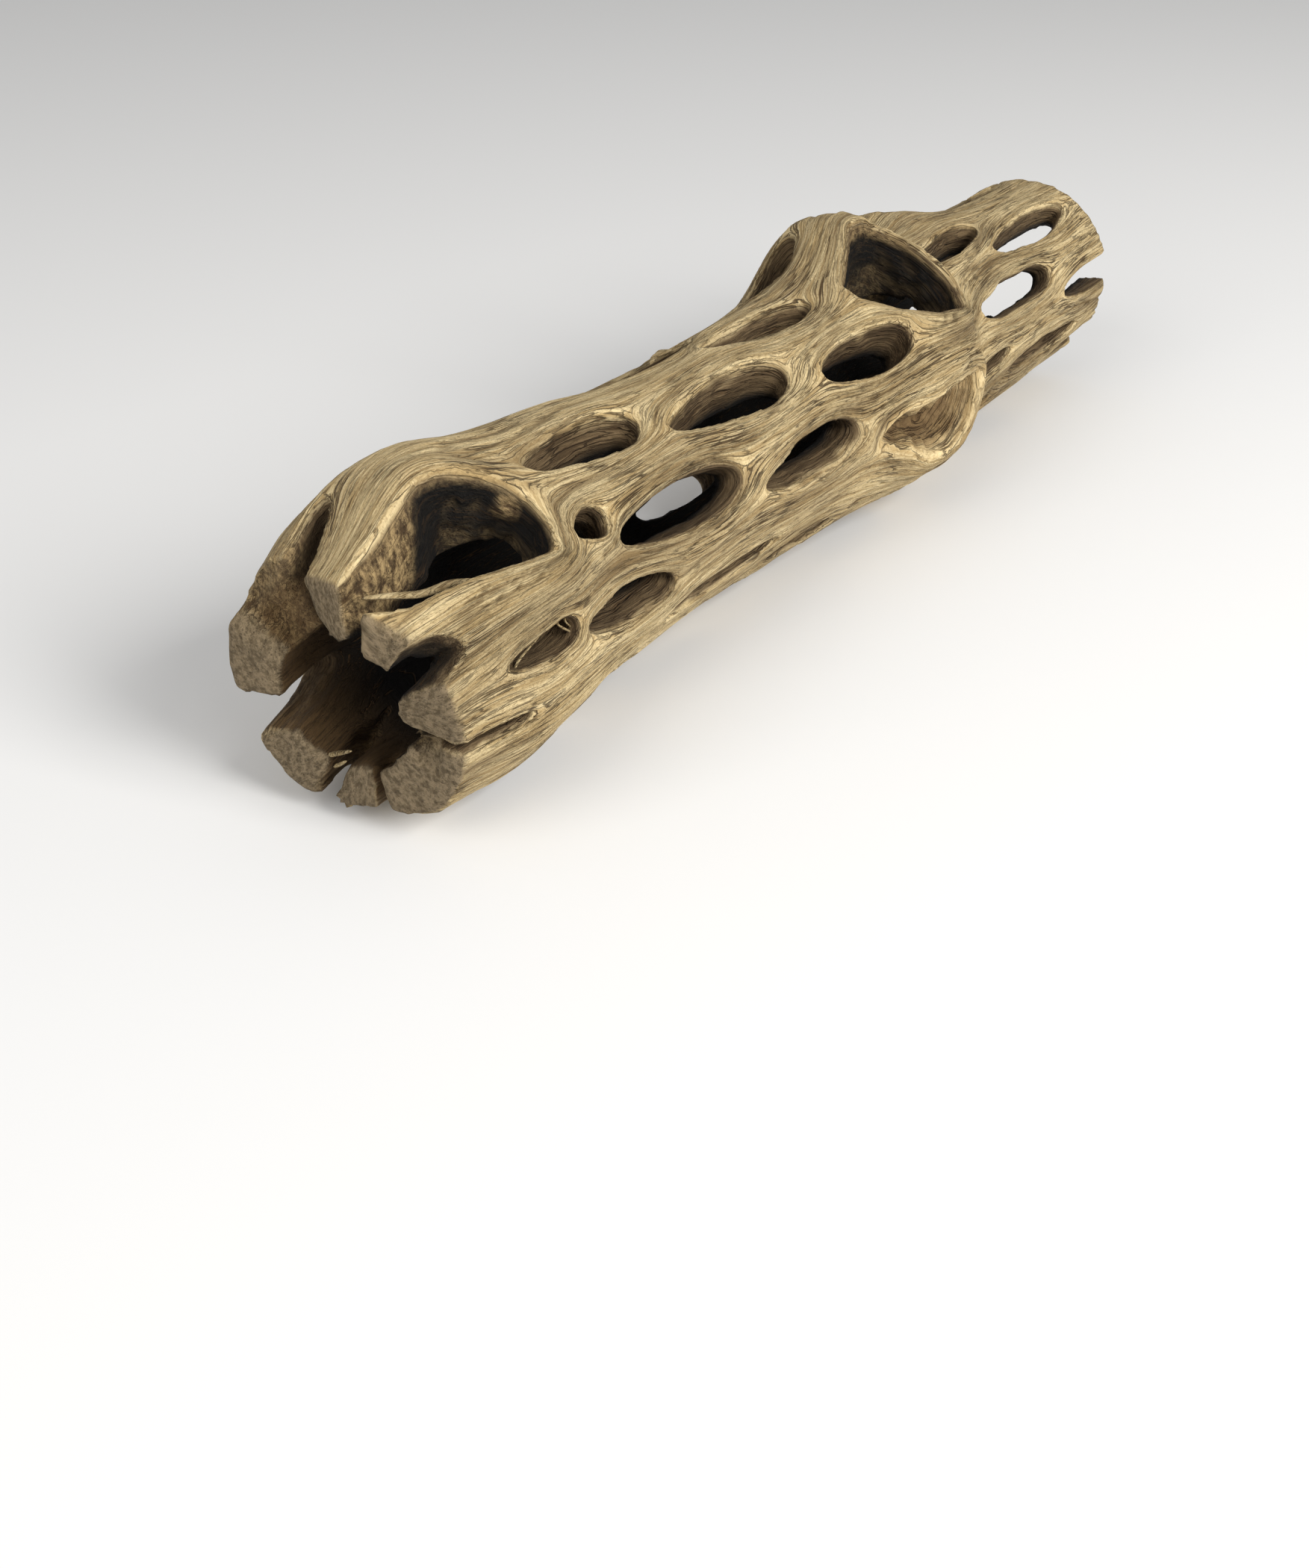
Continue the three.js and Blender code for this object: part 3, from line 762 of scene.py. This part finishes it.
def skeleton():
    """The whole piece of wood as one closed surface, with its grain and masks as attributes."""
    shift = grain_shift(*window_map())
    steps, quads = surface_net(wood_field())
    keep = largest_body(len(steps), quads)
    new = np.cumsum(keep) - 1
    quads = new[quads[keep[quads].all(axis=1)]]
    steps = steps[keep]

    x = np.interp(steps[:, 0], np.arange(STEPS_ALONG), Grid.x)
    phi = np.interp(steps[:, 1], np.arange(STEPS_ROUND + 1), Grid.turn)
    r = R_LOW + steps[:, 2] * (R_HIGH - R_LOW) / (STEPS_OUT - 1)
    points = relax(on_stem(x, phi, r), quads, 1, 0.45)
    normal = vertex_normals(points, quads)

    outer, inner = outer_radius(x, phi), inner_radius(x, phi)
    depth = np.clip((outer - r) / (outer - inner), 0.0, 1.0)
    moved = np.radians(phi + sample_grid(shift, steps))
    under = GIRTH_RADIUS + r - outer
    grain = np.stack([x, under * np.cos(moved), under * np.sin(moved)], axis=1)
    wall, sawn, crumb, char_and_shade, warm, in_pit = wood_masks(x, phi, r, depth, points, normal)
    relief = fibre_relief(grain, x, phi, r, wall, in_pit)

    # No relief on the sawn faces and where the piece rests, and half of it on crumbly wood
    share = (1 - sawn) * smoothstep(points[:, 2], 0.0, 1.2) * (1 - 0.5 * crumb * (1 - in_pit))
    points = points + normal * (relief * share)[:, None]
    points[:, 2] = np.maximum(points[:, 2], 0.0)

    piece = quad_mesh("skeleton_wood", points, quads)
    masks = np.stack([wall, sawn, crumb, char_and_shade], axis=1)
    set_finish(piece, grain, masks, depth, 0.5 + np.clip(relief, -0.5, 0.5), warm)
    return piece


# Fibres that have come loose: the places (x, phi, r) that each passes, and its half thickness
LOOSE_FIBRES = [
    (
        [
            (11.0, 126.5, 12.4), (9.3, 118.5, 11.5), (7.8, 117.5, 11.7), (6.2, 112.5, 10.9),
            (4.0, 104, 11.3), (1.6, 95.5, 11.7),
        ],
        0.55,
    ),
    ([(1.4, 308, 9.8), (0.5, 305, 7.6), (0.0, 286, 4.6)], 0.42),
    ([(1.2, 300, 9.6), (0.6, 297, 8.2), (0.3, 291, 6.6)], 0.36),
    ([(16.0, 157, 13.8), (16.6, 163, 13.0), (18.6, 172, 13.8)], 0.20),
    ([(17.2, 157, 13.9), (17.6, 164, 13.2), (19.0, 172, 13.9)], 0.16),
    ([(8.4, 168, 12.8), (11.0, 166, 12.2), (14.0, 160, 13.6)], 0.16),
    ([(60.5, 62, 13.5), (63.0, 58, 14.0), (66.5, 57, 13.7)], 0.40),
    ([(62.0, 60, 13.6), (64.6, 56, 14.2), (67.5, 55, 13.6)], 0.36),
]


FIBRE_STEPS = 18
FIBRE_SIDES = 6
FIBRE_FLATNESS = 0.6
FIBRE_TIP = 0.2


def loose_fibres():
    """Thin rods along smoothed lines through the given places, thickest in the middle: flattened
    rings of FIBRE_SIDES corners square to the line, closed by a point at each end."""
    steps, sides = FIBRE_STEPS, FIBRE_SIDES
    share = np.linspace(0.0, 1.0, steps)
    points, faces = [], []
    for places, thick in LOOSE_FIBRES:
        given = on_stem(*np.array(places, float).T)
        at = np.linspace(0.0, 1.0, len(given))
        line = np.stack([np.interp(share, at, given[:, axis]) for axis in range(3)], axis=1)
        for _ in range(3):
            line[1:-1] = 0.25 * line[:-2] + 0.5 * line[1:-1] + 0.25 * line[2:]
        forward = np.gradient(line, axis=0)
        forward /= np.linalg.norm(forward, axis=1)[:, None]
        side = np.cross(forward, [0.0, 0.0, 1.0])
        side /= np.linalg.norm(side, axis=1)[:, None]
        over = np.cross(side, forward)
        width = thick * (0.35 + 0.65 * np.sin(math.pi * share) ** 0.6)
        turn = np.arange(sides) * (2 * math.pi / sides)
        across = side[:, None, :] * np.cos(turn)[:, None]
        across = across + FIBRE_FLATNESS * over[:, None, :] * np.sin(turn)[:, None]
        ring = line[:, None, :] + across * width[:, None, None]
        start = sum(len(p) for p in points)
        tips = [line[:1] - FIBRE_TIP * forward[:1], line[-1:] + FIBRE_TIP * forward[-1:]]
        points.append(np.concatenate([ring.reshape(-1, 3)] + tips))
        corner = np.arange(sides)
        after = (corner + 1) % sides
        row = start + np.arange(steps - 1)[:, None] * sides
        beyond = row + sides
        quads = np.stack([row + corner, beyond + corner, beyond + after, row + after], axis=-1)
        faces += quads.reshape(-1, 4).tolist()
        last = start + (steps - 1) * sides
        tip = start + steps * sides
        faces += np.stack([start + corner, start + after, np.full(sides, tip)], axis=1).tolist()
        faces += np.stack([last + after, last + corner, np.full(sides, tip + 1)], axis=1).tolist()
    points = np.concatenate(points)
    mesh = bpy.data.meshes.new("loose_fibres")
    mesh.from_pydata((points * MM).tolist(), [], faces)
    mesh.validate()
    mesh.shade_smooth()
    piece = bpy.data.objects.new("loose_fibres", mesh)
    bpy.context.scene.collection.objects.link(piece)
    count = len(points)
    none = np.zeros(count)
    masks = np.tile([0.25, 0.0, 0.0, 0.0], (count, 1))
    set_finish(piece, points * [0.5, 1.0, 1.0], masks, none, np.full(count, 0.5), none)
    return piece


class Nodes:
    """Short names for adding and joining shader nodes in one tree."""

    def __init__(self, tree):
        self.tree = tree

    def add(self, kind, **settings):
        node = self.tree.nodes.new(kind)
        for name, value in settings.items():
            setattr(node, name, value)
        return node

    def link(self, source, target):
        self.tree.links.new(source, target)

    def put(self, target, value):
        if isinstance(value, bpy.types.NodeSocket):
            self.link(value, target)
        else:
            target.default_value = value

    def math(self, operation, a, b=0.5, clamp=False):
        node = self.add("ShaderNodeMath", operation=operation, use_clamp=clamp)
        self.put(node.inputs[0], a)
        self.put(node.inputs[1], b)
        return node.outputs[0]

    def mix(self, share, a, b):
        node = self.add("ShaderNodeMix", data_type="RGBA", blend_type="MIX")
        self.put(node.inputs["Factor"], share)
        self.put(node.inputs[6], a)
        self.put(node.inputs[7], b)
        return node.outputs[2]

    def remap(self, value, low, high, to_low=0.0, to_high=1.0, smooth=True):
        kind = "SMOOTHSTEP" if smooth else "LINEAR"
        node = self.add("ShaderNodeMapRange", interpolation_type=kind)
        sockets = ("Value", "From Min", "From Max", "To Min", "To Max")
        for socket, amount in zip(sockets, (value, low, high, to_low, to_high)):
            self.put(node.inputs[socket], amount)
        return node.outputs["Result"]

    def add_shares(self, *pairs):
        """The sum of each value times its share."""
        total = self.math("MULTIPLY", *pairs[0])
        for value, share in pairs[1:]:
            total = self.math("ADD", total, self.math("MULTIPLY", value, share))
        return total

    def outputs(self, **values):
        """The outputs of a group."""
        out = self.add("NodeGroupOutput")
        for name, value in values.items():
            self.link(value, out.inputs[name])

    def noise(self, vector, stretch, scale, detail, roughness):
        mapping = self.add("ShaderNodeMapping")
        self.link(vector, mapping.inputs["Vector"])
        mapping.inputs["Scale"].default_value = stretch
        node = self.add("ShaderNodeTexNoise")
        self.link(mapping.outputs[0], node.inputs["Vector"])
        node.inputs["Scale"].default_value = scale
        node.inputs["Detail"].default_value = detail
        node.inputs["Roughness"].default_value = roughness
        return node.outputs[0]


def grain_group():
    """Grain: streaks that run along the fibres, clusters of long thin cracks between them, sandy
    specks, and a height for the bump."""
    tree = bpy.data.node_groups.new("wood_grain", "ShaderNodeTree")
    face = tree.interface
    face.new_socket("Grain", in_out="INPUT", socket_type="NodeSocketVector")
    for name in ("Streak", "Crack", "Blotch", "Speck", "Height"):
        face.new_socket(name, in_out="OUTPUT", socket_type="NodeSocketFloat")
    n = Nodes(tree)
    given = n.add("NodeGroupInput").outputs["Grain"]
    # How far the noise is drawn out along the fibres, from the longest streaks to sandy specks
    longest, long, short, shortest = ((share, 1.0, 1.0) for share in (0.05, 0.08, 0.35, 0.7))
    fine = n.noise(given, longest, 2.6, 5.0, 0.72)
    broad = n.noise(given, longest, 0.8, 3.0, 0.55)
    blotch = n.noise(given, short, 0.11, 3.0, 0.6)
    speck = n.noise(given, shortest, 4.0, 3.0, 0.75)
    wide = n.noise(given, longest, 0.95, 2.0, 0.45)
    thin = n.noise(given, long, 1.9, 2.0, 0.5)
    where = n.noise(given, short, 0.30, 2.0, 0.5)
    here = n.remap(where, 0.46, 0.60)
    from_middle = n.math("ABSOLUTE", n.math("SUBTRACT", wide, 0.5))
    wide_crack = n.math("MULTIPLY", n.remap(from_middle, 0.002, 0.024, 1.0, 0.0), here)
    from_middle = n.math("ABSOLUTE", n.math("SUBTRACT", thin, 0.5))
    everywhere = n.math("ADD", n.math("MULTIPLY", here, 0.55), 0.45)
    thin_crack = n.math("MULTIPLY", n.remap(from_middle, 0.0, 0.034, 0.8, 0.0), everywhere)
    crack = n.math("MAXIMUM", wide_crack, thin_crack)
    streak = n.add_shares((fine, 0.7), (broad, 0.3))
    raised = n.math("ADD", streak, n.math("MULTIPLY", speck, 0.25))
    height = n.math("SUBTRACT", raised, n.math("MULTIPLY", crack, 0.9))
    n.outputs(Streak=streak, Crack=crack, Blotch=blotch, Speck=speck, Height=height)
    return tree


def crumb_group():
    """Crumb: the rough, open texture of sawn ends and dead tissue, with a height that has pits."""
    tree = bpy.data.node_groups.new("wood_crumb", "ShaderNodeTree")
    face = tree.interface
    face.new_socket("Place", in_out="INPUT", socket_type="NodeSocketVector")
    face.new_socket("Size", in_out="INPUT", socket_type="NodeSocketFloat")
    for name in ("Tone", "Height"):
        face.new_socket(name, in_out="OUTPUT", socket_type="NodeSocketFloat")
    n = Nodes(tree)
    given = n.add("NodeGroupInput")
    noise = n.add("ShaderNodeTexNoise")
    n.link(given.outputs["Place"], noise.inputs["Vector"])
    n.link(given.outputs["Size"], noise.inputs["Scale"])
    noise.inputs["Detail"].default_value = 6.0
    noise.inputs["Roughness"].default_value = 0.7
    cells = n.add("ShaderNodeTexVoronoi")
    n.link(given.outputs["Place"], cells.inputs["Vector"])
    n.link(n.math("MULTIPLY", given.outputs["Size"], 2.2), cells.inputs["Scale"])
    pits = n.remap(cells.outputs["Distance"], 0.12, 0.34, 1.0, 0.0)
    tone = noise.outputs[0]
    height = n.math("SUBTRACT", tone, n.math("MULTIPLY", pits, 0.35))
    n.outputs(Tone=tone, Height=height)
    return tree


def srgb(r, g, b):
    """A colour given as it looks on screen, 0 to 255, as the linear colour a shader takes."""

    def linear(c):
        return c / 12.92 if c < 0.0404 else ((c + 0.055) / 1.055) ** 2.4

    return (linear(r / 255), linear(g / 255), linear(b / 255), 1.0)


# Colours of the weathered skin (umber also paints shade in the furrows), of the wall, of charred
# wood (its near-black also paints shade deep in the tube and shadow in the near end's gap), of cracks,
# of sawn faces, of dead tissue and of the brown stain inside the near end
PALE = srgb(230, 208, 160)
TAN = srgb(178, 152, 106)
SAND = srgb(140, 117, 80)
UMBER = srgb(104, 82, 52)
WALL_LIT = srgb(120, 100, 72)
WALL_DIM = srgb(76, 60, 40)
CHAR_AND_SHADE = srgb(15, 13, 11)
CHAR_AND_SHADE_LIT = srgb(34, 30, 24)
CRACK = srgb(78, 58, 35)
SAWN = srgb(148, 130, 102)
SAWN_DARK = srgb(98, 84, 62)
TISSUE_TAN = srgb(176, 150, 106)
TISSUE_DARK = srgb(70, 54, 36)
RUST = srgb(120, 92, 56)


CRUMB_SIZE = 1.3
BUMP_DEPTH = 0.0007
SHEEN = 0.22


def wood_material(grain_tree, crumb_tree):
    """Weathered wood: pale and streaked outside, browner in the wall, nearly black towards the pith
    (partly a dark stain, partly painted shade inside the tube), grey-brown and open on the sawn ends,
    crumbly or charred in the scars, with painted shade in the furrows and painted shadow in the near
    end's gap and slot."""
    material = bpy.data.materials.new("weathered_wood")
    material.use_nodes = True
    n = Nodes(material.node_tree)
    shader = material.node_tree.nodes["Principled BSDF"]
    grain = n.add("ShaderNodeAttribute", attribute_name="grain").outputs["Vector"]
    masks = n.add("ShaderNodeAttribute", attribute_name="masks")
    depth = n.add("ShaderNodeAttribute", attribute_name="depth").outputs["Fac"]
    relief = n.add("ShaderNodeAttribute", attribute_name="relief").outputs["Fac"]
    warm = n.add("ShaderNodeAttribute", attribute_name="warm").outputs["Fac"]
    split = n.add("ShaderNodeSeparateColor")
    n.link(masks.outputs["Color"], split.inputs[0])
    wall, sawn, crumbly = split.outputs[0], split.outputs[1], split.outputs[2]
    # The masks' alpha: char, and painted shadow in the near end's gap and slot
    char_and_shade = masks.outputs["Alpha"]

    fibres = n.add("ShaderNodeGroup")
    fibres.node_tree = grain_tree
    n.link(grain, fibres.inputs["Grain"])
    crumb = n.add("ShaderNodeGroup")
    crumb.node_tree = crumb_tree
    n.link(grain, crumb.inputs["Place"])
    crumb.inputs["Size"].default_value = CRUMB_SIZE

    streak = n.remap(fibres.outputs["Streak"], 0.40, 0.60)
    skin = n.mix(streak, TAN, PALE)
    sandy = n.remap(fibres.outputs["Speck"], 0.50, 0.66)
    skin = n.mix(n.math("MULTIPLY", sandy, 0.6), skin, SAND)
    blotched = n.remap(fibres.outputs["Blotch"], 0.45, 0.72)
    skin = n.mix(n.math("MULTIPLY", blotched, 0.45), skin, UMBER)
    # Umber where the relief is low: painted shade in the furrows, on darker brown wood
    furrow_shade = n.remap(relief, 0.15, 0.52, 1.0, 0.0)
    skin = n.mix(n.math("MULTIPLY", furrow_shade, 0.55), skin, UMBER)
    inside = n.mix(streak, WALL_DIM, WALL_LIT)
    skin = n.mix(wall, skin, inside)
    # Nearly black towards the pith: partly a dark stain, partly painted shade inside the tube
    skin = n.mix(n.remap(depth, 0.55, 0.85), skin, CHAR_AND_SHADE)
    tissue = n.mix(n.remap(crumb.outputs["Tone"], 0.38, 0.66), TISSUE_DARK, TISSUE_TAN)
    skin = n.mix(crumbly, skin, tissue)
    # Char, and painted shadow in the near end's gap and slot: near-black with lighter patches
    burnt_and_shadow = n.mix(n.remap(crumb.outputs["Tone"], 0.48, 0.72), CHAR_AND_SHADE, CHAR_AND_SHADE_LIT)
    skin = n.mix(char_and_shade, skin, burnt_and_shadow)
    skin = n.mix(n.math("MULTIPLY", warm, 0.45), skin, RUST)
    end = n.mix(n.remap(crumb.outputs["Tone"], 0.36, 0.62), SAWN_DARK, SAWN)
    skin = n.mix(sawn, skin, end)
    cracked = n.math("SUBTRACT", 0.9, n.math("MULTIPLY", sawn, 0.7))
    crack = n.math("MULTIPLY", fibres.outputs["Crack"], cracked)
    skin = n.mix(crack, skin, CRACK)
    n.link(skin, shader.inputs["Base Color"])

    rough = n.math("MAXIMUM", n.math("MAXIMUM", sawn, crumbly), char_and_shade)
    height = n.mix(rough, fibres.outputs["Height"], crumb.outputs["Height"])
    bump = n.add("ShaderNodeBump")
    bump.inputs["Strength"].default_value = 1.0
    bump.inputs["Distance"].default_value = BUMP_DEPTH
    n.link(height, bump.inputs["Height"])
    n.link(bump.outputs[0], shader.inputs["Normal"])
    dull = n.remap(streak, 0.0, 1.0, 0.88, 0.72, smooth=False)
    n.link(dull, shader.inputs["Roughness"])
    shader.inputs["Specular IOR Level"].default_value = SHEEN
    return material


# The piece
wood = wood_material(grain_group(), crumb_group())
piece = skeleton()
piece.data.materials.append(wood)
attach(piece, "root")
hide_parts("cholla_skeleton")
fibres = loose_fibres()
fibres.data.materials.append(wood)
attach(fibres, "root")


# The stage, the light and the camera
FLOOR_COLOUR = (0.80, 0.80, 0.80, 1.0)
FLOOR_HALF = 3.0
# Soft square lights: name, direction from the piece, distance, size, power and colour
LIGHTS = [
    ("key", (-0.10, -0.84, 0.54), 0.6, 0.3, 4.1, (1.0, 0.985, 0.955)),
    ("fill", (-0.85, 0.1, 0.52), 0.8, 0.6, 2.7, (1.0, 0.99, 0.97)),
]
LIT_HEIGHT = 0.015
SKY_COLOUR = (1.0, 1.0, 1.0, 1.0)
SKY_STRENGTH = 0.38
# The camera: its place from the pith's near end in millimetres, its right and forward directions,
# and its focal length and the picture's height, both in the picture's pixels
CAMERA_PLACE = (-102.9, -104.4, 85.3)
CAMERA_RIGHT = (0.559, -0.829, 0.0)
CAMERA_FORWARD = (0.690, 0.466, -0.553)
FOCAL_PIXELS = 2400.0
PICTURE_HEIGHT = 2100.0
SENSOR_HEIGHT = 36.0


def floor_material():
    """Plain pale floor."""
    material = bpy.data.materials.new("pale_floor")
    material.use_nodes = True
    shader = material.node_tree.nodes["Principled BSDF"]
    shader.inputs["Base Color"].default_value = FLOOR_COLOUR
    shader.inputs["Roughness"].default_value = 0.9
    return material


def stage():
    """A flat square of floor under the piece."""
    mesh = bpy.data.meshes.new("floor")
    corners = [(a * FLOOR_HALF, b * FLOOR_HALF, 0) for a, b in ((-1, -1), (1, -1), (1, 1), (-1, 1))]
    mesh.from_pydata(corners, [], [(0, 1, 2, 3)])
    mesh.materials.append(floor_material())
    floor = bpy.data.objects.new("floor", mesh)
    bpy.context.scene.collection.objects.link(floor)


def area_light(name, direction, distance, size, power, colour):
    """A square soft light, at a distance along a direction, turned to the middle of the piece."""
    light = bpy.data.lights.new(name, "AREA")
    light.size = size
    light.energy = power
    light.color = colour
    lamp = bpy.data.objects.new(name, light)
    towards = Vector(direction).normalized()
    lamp.location = towards * distance + Vector((0, 0, LIT_HEIGHT))
    lamp.rotation_mode = "QUATERNION"
    lamp.rotation_quaternion = towards.to_track_quat("Z", "Y")
    bpy.context.scene.collection.objects.link(lamp)


def camera():
    """The photograph's camera: 33.6 degrees down, from the near end's left."""
    right = Vector(CAMERA_RIGHT).normalized()
    forward = Vector(CAMERA_FORWARD).normalized()
    up = right.cross(forward).normalized()
    forward = up.cross(right).normalized()
    place = (Vector((PITH_START, PITH_SIDE, PITH_HEIGHT)) + Vector(CAMERA_PLACE)) * MM
    lens = bpy.data.cameras.new("camera")
    lens.lens = FOCAL_PIXELS * SENSOR_HEIGHT / PICTURE_HEIGHT
    lens.clip_start = 0.01
    lens.clip_end = 20.0
    eye = bpy.data.objects.new("camera", lens)
    turned = Matrix((right, up, -forward)).transposed()
    eye.matrix_world = Matrix.Translation(place) @ turned.to_4x4()
    bpy.context.scene.collection.objects.link(eye)
    bpy.context.scene.camera = eye


stage()
for light in LIGHTS:
    area_light(*light)
camera()
scene = bpy.context.scene
scene.world = bpy.data.worlds.new("studio")
scene.world.use_nodes = True
sky = scene.world.node_tree.nodes["Background"]
sky.inputs["Color"].default_value = SKY_COLOUR
sky.inputs["Strength"].default_value = SKY_STRENGTH
scene.view_settings.view_transform = "Standard"
